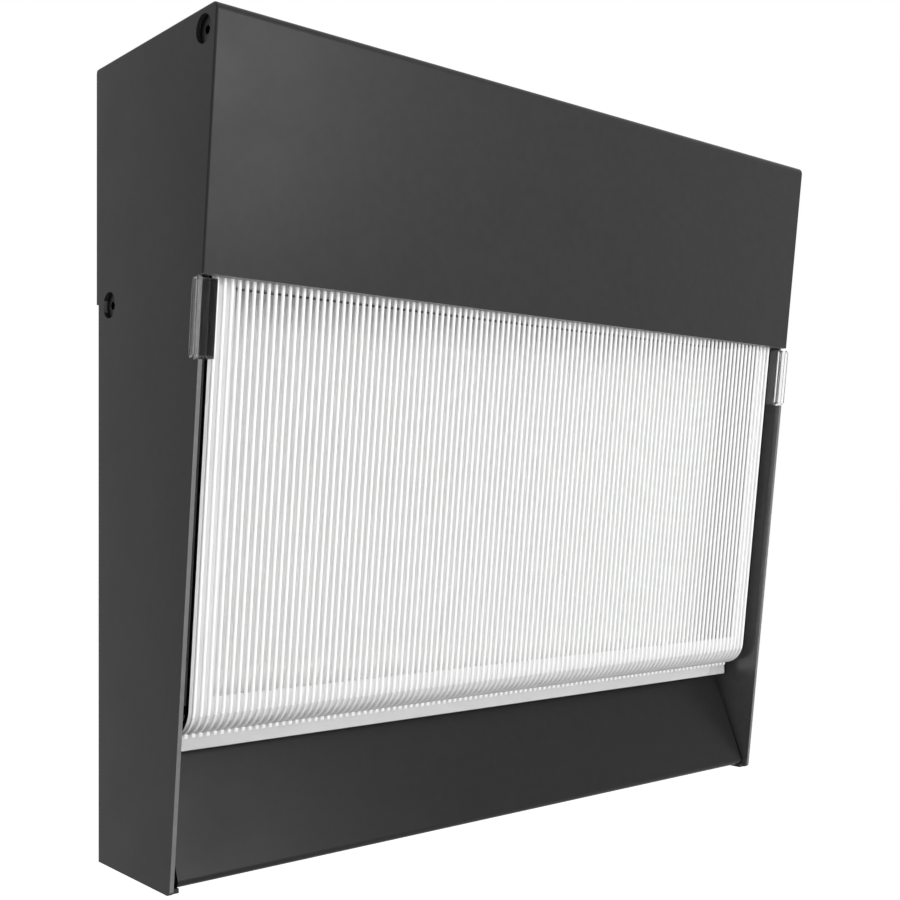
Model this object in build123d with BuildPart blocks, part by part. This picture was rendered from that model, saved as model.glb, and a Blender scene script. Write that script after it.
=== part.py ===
from build123d import *
import os
from math import atan2, cos, degrees, radians, sin, tan

os.makedirs("parts", exist_ok=True)

# Wall pack light: a bent-sheet cover with a ribbed clear lens, hung on a wall pan that holds the
# light engine. Millimetres, +Z up, X across the front, the wall at Y = 0 and the front towards -Y.
# The origin is on the wall, at the middle of the casing's width and height.

# ---------------------------------------------------------------- driving dimensions
# Cover
width = 333.0              # across the side panels
height = 305.0             # top panel to the foot of the sides
depth_top = 91.6           # cover depth along the top panel
depth_bottom = 58.4        # cover depth along the foot of the sides
sheet = 1.6                # thickness of the painted sheet
bend_inside = 1.2          # inside radius of the sheet's bends
hood_height = 89.4         # height of the solid panel above the lens
hood_return = 3.6          # depth of the fold under the hood, from its front face
rear_step_drop = 90.8      # height of the part of the sides that reaches furthest back
rear_step = 1.6            # how far the lower part of the sides stops short of that
corner_round = 2.0         # rounding of the side panels' free corners
edge_round = 0.8           # rounding of the folds between the sides, top and hood
hem_width = 14.0           # fold under each side that carries the sill
hem_tab = 3.2              # width of that fold at its front corner
hem_setback = 9.0          # length of the narrow front stretch of that fold

# Side screw holes
side_hole_radius = 5.0
upper_hole_setback = 8.34  # behind the front plane
upper_hole_drop = 7.4      # from the top
lower_hole_back = 10.8     # from the cover's rear plane
lower_hole_drop = 92.1

# Wall gasket and pan
gasket_thick = 3.2
gasket_width = 10.0
gasket_inset = 2.0         # gasket's outer edge, in from the pan's edge
pan_side_gap = 4.9         # side panel's inner face to the pan
pan_foot_gap = 3.0         # foot of the cover to the pan's lower edge
pan_top_gap = 12.4         # top panel's underside to the pan, room for the panel's swing
pan_flange_depth = 19.0    # pan's side flanges, forward from its rear face
pan_flange_foot = 20.0     # lower end of those flanges, above the pan's lower edge
wall_bolt_x = 280.0
wall_bolt_z = 220.0
wall_bolt_radius = 3.5
box_screw_x = 88.9         # the two screws of a wall box
box_screw_radius = 2.6
bumper_thick = 2.0         # rubber stops between pan and sill
bumper_radius = 4.0
bumper_x = 100.0

# Grommet in the wire entry
grommet_hole_radius = 11.1
grommet_bore_radius = 7.5
grommet_flange = 3.0       # rim beyond the hole
grommet_front = 2.5

# Hinge
hinge_offset = 4.0         # pin axis, forward of the pan's front face
hinge_drop = 4.4           # pin axis, below the top panel's underside
hinge_pin_radius = 1.5
pin_head = 0.8
pin_head_radius = 2.4
hinge_leaf = 1.4
hinge_length = 40.0
hinge_reach = 24.0
hinge_x = 100.0            # middle of each hinge, from the centre line
knuckle_radius = 4.0
knuckle_middle = 16.0      # length of the fixed knuckle
knuckle_gap = 0.4
running_gap = 0.05         # radial gap of a pin or screw in its hole
seat_gap = 0.02            # radial gap of a pin in the knuckle that holds it

# Lens
lens_recess = 4.35         # rib crests, behind the front plane
lens_side_gap = 4.9        # side panel's inner face to the lens
rib_pitch = 2.98
rib_width = 1.5            # each rib, with a flat land to the next
rib_height = 0.7
lens_plate = 2.2           # thickness under the ribs
lens_lap = 13.0            # lens above the hood's lower edge
lens_floor_height = 55.0   # underside of the lens's floor above the foot of the cover
lens_bend = 11.3           # radius of the lower bend, under the ribs
lip_drop = 6.9             # drip lip below the lens's floor
lip_thick = 2.5
floor_reach = 22.0         # lens's floor behind the lip's front face
ear_proud = 2.5            # ear beyond the side panel's outer face
ear_thick = 3.0
ear_height = 27.0
ear_top_gap = 1.2          # hood's lower edge to the ear
ear_foot_gap = 0.5
ear_back_gap = 0.4
ear_web = 2.5
ear_round = 1.0
seal_foot = 2.5            # strip between hood and lens, above the hood's lower edge
seal_inset = 1.0

# Sill under the lens
sill_side_gap = 2.6        # side panel's inner face to the sill, a dark line beside it
sill_setback = 0.6         # sill's foot behind the front plane
sill_tilt = 21.0           # degrees from upright
sill_bend = 2.2            # outer radius of its bends
shelf_gap = 0.5            # lens's floor to the sill's upstand
sill_hem = 3.2             # upstand behind the lens's floor
sill_rear_height = 12.0
pad_thick = 1.0            # soft pad between sill and lens
pad_inset = 2.5

# Fasteners
screw_radius = 2.5
screw_head_radius = 4.7
screw_head = 2.2
socket_radius = 1.7        # corner radius of the hexagon socket
socket_depth = 1.4
boss_thick = 4.0
boss_radius = 8.0
screw_end = 1.5            # screw or stud beyond its nut
nut_thick = 4.0
nut_radius = 4.6           # corner radius of a hexagon nut
nut_gap = 0.3
lock_slot_gap = 0.4        # lock screw to the sides of its slot
lock_rise = 2.2            # room for the lock screw's arc in its slot
small_radius = 2.0
small_head_radius = 3.6
small_head = 1.8
small_slot = 0.9           # width and depth of the driving slot
small_nut_radius = 4.0
small_nut_thick = 3.2

# Lens clamp frame behind the hood
clamp_thick = 1.5
clamp_gap = 0.3            # clamp frame to the lens, the hood and the top panel
clamp_foot = 5.0           # clamp bar above the hood's lower edge
clamp_height = 15.0
clamp_plate_depth = 20.0
clamp_head_gap = 2.0       # end plates below the top panel

# Reflector, its brackets and the light engine
reflector_setback = 31.8   # reflector's back panel, behind the front plane
reflector_sheet = 0.8
reflector_side_gap = 3.0   # inside the lens's edges
reflector_lens_gap = 3.0
reflector_foot = 8.0       # above the lens's floor
reflector_cove = 10.0
reflector_lap = 1.4        # reflector's top edge above the hood's lower edge
stud_inset = 25.0          # studs from the reflector's top and foot
bracket_x = 130.0          # outer face of each bracket's web
bracket_sheet = 1.5
bracket_flange = 14.0
bracket_screw_inset = 15.0 # bracket's screws from its top and foot
window_width = 22.0        # opening in each bracket's web
window_height = 90.0
window_round = 6.0
tray_sheet = 2.0
tray_height = 34.0
tray_depth = 24.0
tray_shadow_gap = 1.2      # reflector's top edge to the light tray
tray_end_gap = 16.0        # reflector's ends to the tray's ends
tray_screw_rise = 16.0     # tray's screws above its lower edge
board_thick = 1.6
board_inset = 1.0
board_screw_columns = 4    # columns of emitters between two board screws
led_size = 3.0
led_thick = 0.7
led_rows = 2
led_row_pitch = 9.0
led_count = 14             # in one row
sink_base = 3.0
fin_height = 15.0
fin_thick = 1.2
fin_count = 5

# Driver, terminals and leads
driver_length = 140.0
driver_height = 42.0
driver_depth = 30.0
driver_z = -54.0
driver_round = 2.5
driver_foot = 12.0         # length and height of each fixing foot
driver_foot_thick = 1.5
terminal_pitch = 10.0
terminal_poles = 3
terminal_x = 95.0
terminal_z = 12.0
terminal_height = 14.0
terminal_depth = 16.0
terminal_end = 3.0
terminal_screw_radius = 2.2
terminal_screw_sink = 1.0
terminal_screw_length = 4.0
lead_radius = 1.2
lead_bend = 7.0
lead_level = 9.2           # leads' centre line, forward of the pan
lead_pitch = 8.0
led_lead_gap = 6.5         # outer light-engine lead to the bracket's flange
connector_height = 12.0
connector_depth = 8.0
connector_z = 85.0
clip_height = 10.0
clip_wall = 3.0
clip_z = 20.0
ground_x = -60.0
ground_z = 20.0

cut_past = 10.0            # how far a cut runs past the face it opens

# ---------------------------------------------------------------- places worked out from them
z_top = height / 2
z_foot = -height / 2
z_step = z_top - rear_step_drop
z_hood = z_top - hood_height
y_back = -gasket_thick
y_low_back = y_back - rear_step
y_pan_front = y_back - sheet
y_front_foot = y_back - depth_bottom
lean = atan2(depth_top - depth_bottom, height)
bend_outside = bend_inside + sheet
inner_half = width / 2 - sheet


def front_y(z):
    """Y of the cover's sloping front plane at height z."""
    return y_front_foot - (z - z_foot) * tan(lean)


def behind_front(z, depth):
    """Y at height z of the plane that lies `depth` behind the front plane, square to it."""
    return front_y(z) + depth / cos(lean)


def across(x):
    """Side-view plane at X = x, with its own X along the row's Y and its own Y upright."""
    return Plane.YZ.offset(x)


def facing_front(y):
    """Plane at Y = y that is extruded towards the front."""
    return Plane(origin=(0, y, 0), x_dir=(1, 0, 0), z_dir=(0, -1, 0))


def reflector_rear(x, z):
    """Plane on the back of the reflector at X = x and height z, facing the wall."""
    origin = (x, behind_front(z, reflector_back), z)
    return Plane(origin=origin, x_dir=(1, 0, 0), z_dir=(0, cos(lean), sin(lean)))


def rectangle_between(low, high):
    """Rectangle between two opposite corners, added to the current sketch."""
    with Locations(((low[0] + high[0]) / 2, (low[1] + high[1]) / 2)):
        Rectangle(abs(high[0] - low[0]), abs(high[1] - low[1]))


def sloping_strip(z_low, z_high, depth, thickness):
    """Face of a strip of the side view that lies parallel to the front plane."""
    with BuildSketch() as strip:
        with BuildLine():
            Polyline(
                (behind_front(z_low, depth), z_low),
                (behind_front(z_high, depth), z_high),
                (behind_front(z_high, depth + thickness), z_high),
                (behind_front(z_low, depth + thickness), z_low),
                close=True,
            )
        make_face()
    return strip.sketch


def sheet_section(points, bend, thickness, side):
    """Section of a bent sheet: its outer line with rounded bends, thickened to one side."""
    with BuildSketch() as section:
        with BuildLine():
            FilletPolyline(*points, radius=bend)
            offset(amount=thickness, side=side)
        make_face()
    return section.sketch


def side_screw(side, place, x_end):
    """Socket screw along X, its head flush with the side panel's inner face."""
    with BuildPart() as screw:
        for x_start, radius, length in (
            (inner_half, screw_head_radius, screw_head),
            (inner_half - screw_head, screw_radius, inner_half - screw_head - x_end),
        ):
            with BuildSketch(across(side * x_start)):
                with Locations(place):
                    Circle(radius)
            extrude(amount=-side * length)
        with BuildSketch(across(side * inner_half)):
            with Locations(place):
                RegularPolygon(socket_radius, 6)
        extrude(amount=-side * socket_depth, mode=Mode.SUBTRACT)
    return screw.part


def hexagon_nuts(planes, corner_radius, bore_radius, thick):
    """One hexagon nut on each plane."""
    with BuildPart() as nuts:
        with BuildSketch(*planes):
            RegularPolygon(corner_radius, 6)
            Circle(bore_radius, mode=Mode.SUBTRACT)
        extrude(amount=thick)
    return nuts.part


def slotted_screws(seat, places, shank):
    """Slotted screws with their heads on the seat plane and their shanks behind it."""
    with BuildPart() as screws:
        with BuildSketch(seat):
            with Locations(places):
                Circle(small_head_radius)
        extrude(amount=small_head)
        with BuildSketch(seat):
            with Locations(places):
                Circle(small_radius)
        extrude(amount=-shank)
        with BuildSketch(seat.offset(small_head)):
            with Locations(places):
                Rectangle(2 * small_head_radius, small_slot)
        extrude(amount=-small_slot, mode=Mode.SUBTRACT)
    return screws.part


def lead(*points):
    """Round lead along a line with rounded corners."""
    with BuildPart() as wire:
        with BuildLine():
            line = FilletPolyline(*points, radius=lead_bend)
        with BuildSketch(Plane(origin=line @ 0, z_dir=line % 0)):
            Circle(lead_radius)
        sweep()
    return wire.part


y_front_top = front_y(z_top)
z_upper_hole = z_top - upper_hole_drop
upper_hole = (behind_front(z_upper_hole, upper_hole_setback), z_upper_hole)
lower_hole = (y_back - lower_hole_back, z_top - lower_hole_drop)

lens_half = inner_half - lens_side_gap
rib_count = int(2 * lens_half / rib_pitch)
lens_base = lens_recess + rib_height
lens_back = lens_base + lens_plate
z_floor = z_foot + lens_floor_height
z_bend = z_floor + lens_bend
y_bend = behind_front(z_bend, lens_base + lens_bend)
z_lens_top = z_hood + lens_lap
z_ear_top = z_hood - ear_top_gap
z_ear_foot = z_ear_top - ear_height

z_panel = z_foot + sheet
z_shelf = z_floor - pad_thick
y_sill_foot = behind_front(z_foot, sill_setback)
y_sill_top = y_sill_foot + (z_shelf - z_panel) * tan(radians(sill_tilt))
y_lens_rear = y_bend + floor_reach
y_sill_back = y_pan_front - bumper_thick
z_bumper = z_panel + sill_rear_height / 2

hinge_y = y_pan_front - hinge_offset
hinge_z = z_top - sheet - hinge_drop
hinge_middles = (-hinge_x, hinge_x)
pan_half = inner_half - pan_side_gap
z_pan_top = z_top - sheet - pan_top_gap
z_pan_foot = z_foot + pan_foot_gap

small_hole = small_radius + running_gap
lock_nut_x = pan_half - sheet - nut_gap
lock_screw_end = lock_nut_x - nut_thick - screw_end
hood_nut_x = inner_half - boss_thick
hood_screw_end = hood_nut_x - nut_thick - screw_end

reflector_half = lens_half - reflector_side_gap
reflector_front = lens_back + reflector_lens_gap
reflector_back = reflector_setback + reflector_sheet
z_reflector_top = z_hood + reflector_lap
z_reflector_foot = z_floor + lens_plate + reflector_foot

tray_half = reflector_half - tray_end_gap
y_tray_face = behind_front(z_reflector_top, reflector_setback)
y_tray_back = y_tray_face + tray_sheet
y_tray_front = y_tray_back - tray_depth
z_tray_foot = z_reflector_top + tray_shadow_gap
z_tray_top = z_tray_foot + tray_height
z_board = z_tray_top - tray_sheet - board_thick
y_board = (y_tray_front + y_tray_face) / 2
led_pitch = 2 * tray_half / led_count
board_screw_pitch = board_screw_columns * led_pitch

y_bracket_foot = y_pan_front - bracket_sheet
z_bracket_foot = z_reflector_foot + reflector_cove + bracket_sheet
z_bracket_top = z_tray_top - tray_sheet - bracket_sheet
flange_x = bracket_x - bracket_sheet - bracket_flange / 2
bracket_screw_places = [
    (side * flange_x, z)
    for side in (-1, 1)
    for z in (z_bracket_foot + bracket_screw_inset, z_bracket_top - bracket_screw_inset)
]
tray_screw_places = [(side * flange_x, z_tray_foot + tray_screw_rise) for side in (-1, 1)]
stud_planes = [
    reflector_rear(side * flange_x, z)
    for side in (-1, 1)
    for z in (z_reflector_foot + stud_inset, z_reflector_top - stud_inset)
]

driver_end = driver_length / 2
driver_screw_places = [(side * (driver_end + driver_foot / 2), driver_z) for side in (-1, 1)]
terminal_xs = [terminal_x + (pole - (terminal_poles - 1) / 2) * terminal_pitch for pole in range(terminal_poles)]
z_terminal_foot = terminal_z - terminal_height / 2
y_terminal_front = y_pan_front - terminal_depth
y_lead = y_pan_front - lead_level
y_connector_rear = y_tray_back + connector_depth
outer_lead_x = bracket_x - bracket_sheet - bracket_flange - led_lead_gap
led_lead_xs = (lead_pitch - outer_lead_x, -outer_lead_x)
led_lead_middle = sum(led_lead_xs) / len(led_lead_xs)
clip_half = lead_pitch / 2 + lead_radius + clip_wall

# ================================================================ the wall side
with BuildPart() as wall_gasket:
    with BuildSketch(facing_front(0)):
        with Locations((0, (z_pan_top + z_pan_foot) / 2)):
            gasket_x = 2 * (pan_half - gasket_inset)
            gasket_z = z_pan_top - z_pan_foot - 2 * gasket_inset
            Rectangle(gasket_x, gasket_z)
            Rectangle(gasket_x - 2 * gasket_width, gasket_z - 2 * gasket_width, mode=Mode.SUBTRACT)
    extrude(amount=gasket_thick)
wall_gasket.part.label = "wall_gasket"
export_step(wall_gasket.part, "parts/wall_gasket.step")

with BuildPart() as back_pan:
    with BuildSketch(facing_front(y_back)):
        rectangle_between((-pan_half, z_pan_foot), (pan_half, z_pan_top))
        with GridLocations(wall_bolt_x, wall_bolt_z, 2, 2):
            Circle(wall_bolt_radius, mode=Mode.SUBTRACT)
        with GridLocations(box_screw_x, 0, 2, 1):
            Circle(box_screw_radius, mode=Mode.SUBTRACT)
        Circle(grommet_hole_radius, mode=Mode.SUBTRACT)
        with Locations(bracket_screw_places + driver_screw_places + [(ground_x, ground_z)]):
            Circle(small_hole, mode=Mode.SUBTRACT)
    extrude(amount=sheet)
back_pan.part.label = "back_pan"
export_step(back_pan.part, "parts/back_pan.step")

with BuildPart() as pan_flanges:
    for side in (-1, 1):
        with BuildSketch(across(side * pan_half)):
            rectangle_between(
                (y_pan_front, z_pan_foot + pan_flange_foot), (y_back - pan_flange_depth, z_pan_top)
            )
        extrude(amount=-side * sheet)
    with BuildSketch(across(0)):
        slot_half = screw_radius + lock_slot_gap
        with Locations(lower_hole):
            Circle(slot_half)
        rectangle_between(
            (lower_hole[0], lower_hole[1] - slot_half),
            (y_back - pan_flange_depth - cut_past, lower_hole[1] + slot_half + lock_rise),
        )
    extrude(amount=pan_half + cut_past, both=True, mode=Mode.SUBTRACT)
pan_flanges.part.label = "pan_flanges"
export_step(pan_flanges.part, "parts/pan_flanges.step")

with BuildPart() as entry_grommet:
    with BuildSketch(facing_front(0)):
        Circle(grommet_hole_radius + grommet_flange)
    extrude(amount=gasket_thick)
    with BuildSketch(facing_front(y_back)):
        Circle(grommet_hole_radius - running_gap)
    extrude(amount=sheet)
    with BuildSketch(facing_front(y_pan_front)):
        Circle(grommet_hole_radius + grommet_flange)
    extrude(amount=grommet_front)
    with BuildSketch(facing_front(0)):
        Circle(grommet_bore_radius)
    extrude(amount=gasket_thick + sheet + grommet_front, mode=Mode.SUBTRACT)
entry_grommet.part.label = "entry_grommet"
export_step(entry_grommet.part, "parts/entry_grommet.step")

with BuildPart() as bumpers:
    with BuildSketch(facing_front(y_pan_front)):
        with Locations((-bumper_x, z_bumper), (bumper_x, z_bumper)):
            Circle(bumper_radius)
    extrude(amount=bumper_thick)
bumpers.part.label = "bumpers"
export_step(bumpers.part, "parts/bumpers.step")

with BuildPart() as hinge_leaf_fixed:
    z_leaf_top = hinge_z - knuckle_radius - knuckle_gap
    for middle in hinge_middles:
        with BuildSketch(across(middle - hinge_length / 2)):
            rectangle_between((y_pan_front, hinge_z - hinge_reach), (y_pan_front - hinge_leaf, z_leaf_top))
        extrude(amount=hinge_length)
        with BuildSketch(across(middle - knuckle_middle / 2)):
            rectangle_between((y_pan_front, z_leaf_top), (y_pan_front - hinge_leaf, hinge_z))
            with Locations((hinge_y, hinge_z)):
                Circle(knuckle_radius)
        extrude(amount=knuckle_middle)
    with BuildSketch(across(0)):
        with Locations((hinge_y, hinge_z)):
            Circle(hinge_pin_radius + seat_gap)
    extrude(amount=width / 2, both=True, mode=Mode.SUBTRACT)
hinge_leaf_fixed.part.label = "hinge_leaf_fixed"
export_step(hinge_leaf_fixed.part, "parts/hinge_leaf_fixed.step")

with BuildPart() as hinge_pins:
    pin_half = hinge_length / 2 + knuckle_gap
    for middle in hinge_middles:
        with BuildSketch(across(middle)):
            with Locations((hinge_y, hinge_z)):
                Circle(hinge_pin_radius)
        extrude(amount=pin_half, both=True)
        for end in (-1, 1):
            with BuildSketch(across(middle + end * pin_half)):
                with Locations((hinge_y, hinge_z)):
                    Circle(pin_head_radius)
            extrude(amount=end * pin_head)
hinge_pins.part.label = "hinge_pins"
export_step(hinge_pins.part, "parts/hinge_pins.step")

with BuildPart() as frame_brackets:
    for side in (-1, 1):
        with BuildSketch(across(side * bracket_x)):
            with BuildLine():
                Polyline(
                    (y_pan_front, z_bracket_foot),
                    (behind_front(z_bracket_foot, reflector_back), z_bracket_foot),
                    (behind_front(z_reflector_top, reflector_back), z_reflector_top),
                    (y_tray_back, z_tray_foot),
                    (y_tray_back, z_bracket_top),
                    (y_pan_front, z_bracket_top),
                    close=True,
                )
            make_face()
            with Locations(((y_pan_front + y_tray_back) / 2, (z_bracket_foot + z_bracket_top) / 2)):
                RectangleRounded(window_width, window_height, window_round, mode=Mode.SUBTRACT)
        extrude(amount=-side * bracket_sheet)
        with BuildSketch(across(side * bracket_x)):
            rectangle_between((y_pan_front, z_bracket_foot), (y_bracket_foot, z_bracket_top))
            rectangle_between((y_tray_back, z_tray_foot), (y_tray_back + bracket_sheet, z_bracket_top))
            add(sloping_strip(z_bracket_foot, z_reflector_top, reflector_back, bracket_sheet))
        extrude(amount=-side * (bracket_sheet + bracket_flange))
    with BuildSketch(facing_front(y_pan_front)):
        with Locations(bracket_screw_places):
            Circle(small_hole)
    extrude(amount=bracket_sheet, mode=Mode.SUBTRACT)
    with BuildSketch(facing_front(y_tray_back + bracket_sheet)):
        with Locations(tray_screw_places):
            Circle(small_hole)
    extrude(amount=bracket_sheet, mode=Mode.SUBTRACT)
    with BuildSketch(*stud_planes):
        Circle(small_hole)
    extrude(amount=bracket_sheet, mode=Mode.SUBTRACT)
frame_brackets.part.label = "frame_brackets"
export_step(frame_brackets.part, "parts/frame_brackets.step")

with BuildPart() as bracket_screws:
    add(slotted_screws(facing_front(y_bracket_foot), bracket_screw_places, bracket_sheet + sheet))
bracket_screws.part.label = "bracket_screws"
export_step(bracket_screws.part, "parts/bracket_screws.step")

with BuildPart() as reflector:
    with BuildSketch(across(0)):
        depth = reflector_back - reflector_front
        add(sloping_strip(z_reflector_foot, z_reflector_top, reflector_front, depth))
    extrude(amount=reflector_half, both=True)
    rear_face = faces().sort_by(Axis.Y)[-1]
    fillet(rear_face.edges().sort_by(Axis.Z)[:-1], reflector_cove)
    open_faces = [faces().sort_by(Axis.Y)[0], faces().sort_by(Axis.Z)[-1]]
    offset(amount=-reflector_sheet, openings=open_faces)
    with BuildSketch(*stud_planes):
        Circle(small_radius)
    extrude(amount=bracket_sheet + small_nut_thick + screw_end)
reflector.part.label = "reflector"
export_step(reflector.part, "parts/reflector.step")

with BuildPart() as reflector_nuts:
    nut_planes = [plane.offset(bracket_sheet) for plane in stud_planes]
    add(hexagon_nuts(nut_planes, small_nut_radius, small_hole, small_nut_thick))
reflector_nuts.part.label = "reflector_nuts"
export_step(reflector_nuts.part, "parts/reflector_nuts.step")

# ---------------------------------------------------------------- light engine
with BuildPart() as led_tray:
    with BuildSketch(across(0)):
        rectangle_between((y_tray_face, z_tray_foot), (y_tray_back, z_tray_top))
        rectangle_between((y_tray_front, z_tray_top - tray_sheet), (y_tray_back, z_tray_top))
    extrude(amount=tray_half, both=True)
    with BuildSketch(facing_front(y_tray_back)):
        with Locations(tray_screw_places):
            Circle(small_hole)
    extrude(amount=tray_sheet, mode=Mode.SUBTRACT)
    with BuildSketch(Plane.XY.offset(z_tray_top)):
        with Locations((0, y_board)):
            with GridLocations(board_screw_pitch, 0, 3, 1):
                Circle(small_hole)
    extrude(amount=-tray_sheet, mode=Mode.SUBTRACT)
led_tray.part.label = "led_tray"
export_step(led_tray.part, "parts/led_tray.step")

with BuildPart() as tray_screws:
    add(slotted_screws(facing_front(y_tray_face), tray_screw_places, tray_sheet + bracket_sheet + screw_end))
tray_screws.part.label = "tray_screws"
export_step(tray_screws.part, "parts/tray_screws.step")

with BuildPart() as heat_sink:
    with BuildSketch(Plane.XY.offset(z_tray_top)):
        rectangle_between((-tray_half, y_tray_front), (tray_half, y_tray_back))
    extrude(amount=sink_base)
    with BuildSketch(Plane.XY.offset(z_tray_top + sink_base)):
        with Locations((0, (y_tray_front + y_tray_back) / 2)):
            with GridLocations(0, (tray_depth - fin_thick) / (fin_count - 1), 1, fin_count):
                Rectangle(2 * tray_half, fin_thick)
    extrude(amount=fin_height)
    with BuildSketch(Plane.XY.offset(z_tray_top)):
        with Locations((0, y_board)):
            with GridLocations(board_screw_pitch, 0, 3, 1):
                Circle(small_hole)
    extrude(amount=sink_base, mode=Mode.SUBTRACT)
heat_sink.part.label = "heat_sink"
export_step(heat_sink.part, "parts/heat_sink.step")

with BuildPart() as led_board:
    with BuildSketch(Plane.XY.offset(z_board)):
        with Locations((0, y_board)):
            board_depth = y_tray_face - y_tray_front - 2 * board_inset
            Rectangle(2 * (tray_half - board_inset), board_depth)
            with GridLocations(board_screw_pitch, 0, 3, 1):
                Circle(small_hole, mode=Mode.SUBTRACT)
    extrude(amount=board_thick)
led_board.part.label = "led_board"
export_step(led_board.part, "parts/led_board.step")

with BuildPart() as leds:
    with BuildSketch(Plane.XY.offset(z_board)):
        with Locations((0, y_board)):
            with GridLocations(led_pitch, led_row_pitch, led_count, led_rows):
                Rectangle(led_size, led_size)
    extrude(amount=-led_thick)
leds.part.label = "leds"
export_step(leds.part, "parts/leds.step")

with BuildPart() as board_screws:
    board_seat = Plane(origin=(0, y_board, z_board), x_dir=(1, 0, 0), z_dir=(0, 0, -1))
    board_screw_places = [(column * board_screw_pitch, 0) for column in (-1, 0, 1)]
    add(slotted_screws(board_seat, board_screw_places, board_thick + tray_sheet + sink_base))
board_screws.part.label = "board_screws"
export_step(board_screws.part, "parts/board_screws.step")

# ---------------------------------------------------------------- driver, terminals and leads
with BuildPart() as driver:
    with BuildSketch(facing_front(y_pan_front)):
        rectangle_between(
            (-driver_end, driver_z - driver_height / 2), (driver_end, driver_z + driver_height / 2)
        )
    extrude(amount=driver_depth)
    wall_face = faces().sort_by(Axis.Y)[-1]
    fillet([edge for edge in edges() if edge not in wall_face.edges()], driver_round)
    for side in (-1, 1):
        with BuildSketch(facing_front(y_pan_front)):
            rectangle_between(
                (side * (driver_end - driver_round), driver_z - driver_foot / 2),
                (side * (driver_end + driver_foot), driver_z + driver_foot / 2),
            )
        extrude(amount=driver_foot_thick)
    with BuildSketch(facing_front(y_pan_front)):
        with Locations(driver_screw_places):
            Circle(small_hole)
    extrude(amount=driver_foot_thick, mode=Mode.SUBTRACT)
driver.part.label = "driver"
export_step(driver.part, "parts/driver.step")

with BuildPart() as driver_screws:
    add(slotted_screws(facing_front(y_pan_front - driver_foot_thick), driver_screw_places,
                       driver_foot_thick + sheet))
driver_screws.part.label = "driver_screws"
export_step(driver_screws.part, "parts/driver_screws.step")

with BuildPart() as terminal_block:
    with BuildSketch(facing_front(y_pan_front)):
        block_length = terminal_poles * terminal_pitch + 2 * terminal_end
        with Locations((terminal_x, terminal_z)):
            Rectangle(block_length, terminal_height)
    extrude(amount=terminal_depth)
    with BuildSketch(facing_front(y_terminal_front)):
        with Locations([(x, terminal_z) for x in terminal_xs]):
            Circle(terminal_screw_radius + running_gap)
    extrude(amount=-(terminal_screw_sink + terminal_screw_length), mode=Mode.SUBTRACT)
terminal_block.part.label = "terminal_block"
export_step(terminal_block.part, "parts/terminal_block.step")

with BuildPart() as terminal_screws:
    y_screw_top = y_terminal_front + terminal_screw_sink
    with BuildSketch(facing_front(y_screw_top)):
        with Locations([(x, terminal_z) for x in terminal_xs]):
            Circle(terminal_screw_radius)
    extrude(amount=-terminal_screw_length)
    with BuildSketch(facing_front(y_screw_top)):
        with Locations([(x, terminal_z) for x in terminal_xs]):
            Rectangle(2 * terminal_screw_radius, small_slot)
    extrude(amount=-small_slot, mode=Mode.SUBTRACT)
terminal_screws.part.label = "terminal_screws"
export_step(terminal_screws.part, "parts/terminal_screws.step")

with BuildPart() as ground_screw:
    add(slotted_screws(facing_front(y_pan_front), [(ground_x, ground_z)], sheet))
ground_screw.part.label = "ground_screw"
export_step(ground_screw.part, "parts/ground_screw.step")

with BuildPart() as supply_lead_black:
    z_start = driver_z + lead_pitch
    add(lead((driver_end, y_lead, z_start), (terminal_xs[0], y_lead, z_start),
             (terminal_xs[0], y_lead, z_terminal_foot)))
supply_lead_black.part.label = "supply_lead_black"
export_step(supply_lead_black.part, "parts/supply_lead_black.step")

with BuildPart() as supply_lead_white:
    add(lead((driver_end, y_lead, driver_z), (terminal_xs[1], y_lead, driver_z),
             (terminal_xs[1], y_lead, z_terminal_foot)))
supply_lead_white.part.label = "supply_lead_white"
export_step(supply_lead_white.part, "parts/supply_lead_white.step")

with BuildPart() as supply_lead_green:
    z_start = driver_z - lead_pitch
    add(lead((driver_end, y_lead, z_start), (terminal_xs[2], y_lead, z_start),
             (terminal_xs[2], y_lead, z_terminal_foot)))
supply_lead_green.part.label = "supply_lead_green"
export_step(supply_lead_green.part, "parts/supply_lead_green.step")

with BuildPart() as led_lead_red:
    z_start = driver_z + lead_pitch / 2
    add(lead((-driver_end, y_lead, z_start), (led_lead_xs[0], y_lead, z_start),
             (led_lead_xs[0], y_lead, connector_z), (led_lead_xs[0], y_connector_rear, connector_z)))
led_lead_red.part.label = "led_lead_red"
export_step(led_lead_red.part, "parts/led_lead_red.step")

with BuildPart() as led_lead_blue:
    z_start = driver_z - lead_pitch / 2
    add(lead((-driver_end, y_lead, z_start), (led_lead_xs[1], y_lead, z_start),
             (led_lead_xs[1], y_lead, connector_z), (led_lead_xs[1], y_connector_rear, connector_z)))
led_lead_blue.part.label = "led_lead_blue"
export_step(led_lead_blue.part, "parts/led_lead_blue.step")

with BuildPart() as lead_clip:
    with BuildSketch(Plane.XY.offset(clip_z - clip_height / 2)):
        rectangle_between(
            (led_lead_middle - clip_half, y_pan_front),
            (led_lead_middle + clip_half, y_lead - lead_radius - clip_wall),
        )
        with Locations([(x, y_lead) for x in led_lead_xs]):
            Circle(lead_radius + running_gap, mode=Mode.SUBTRACT)
    extrude(amount=clip_height)
lead_clip.part.label = "lead_clip"
export_step(lead_clip.part, "parts/lead_clip.step")

with BuildPart() as led_connector:
    with BuildSketch(facing_front(y_connector_rear)):
        with Locations((led_lead_middle, connector_z)):
            Rectangle(2 * clip_half, connector_height)
    extrude(amount=connector_depth)
    fillet(edges().filter_by(Axis.Y), ear_round)
led_connector.part.label = "led_connector"
export_step(led_connector.part, "parts/led_connector.step")

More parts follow.
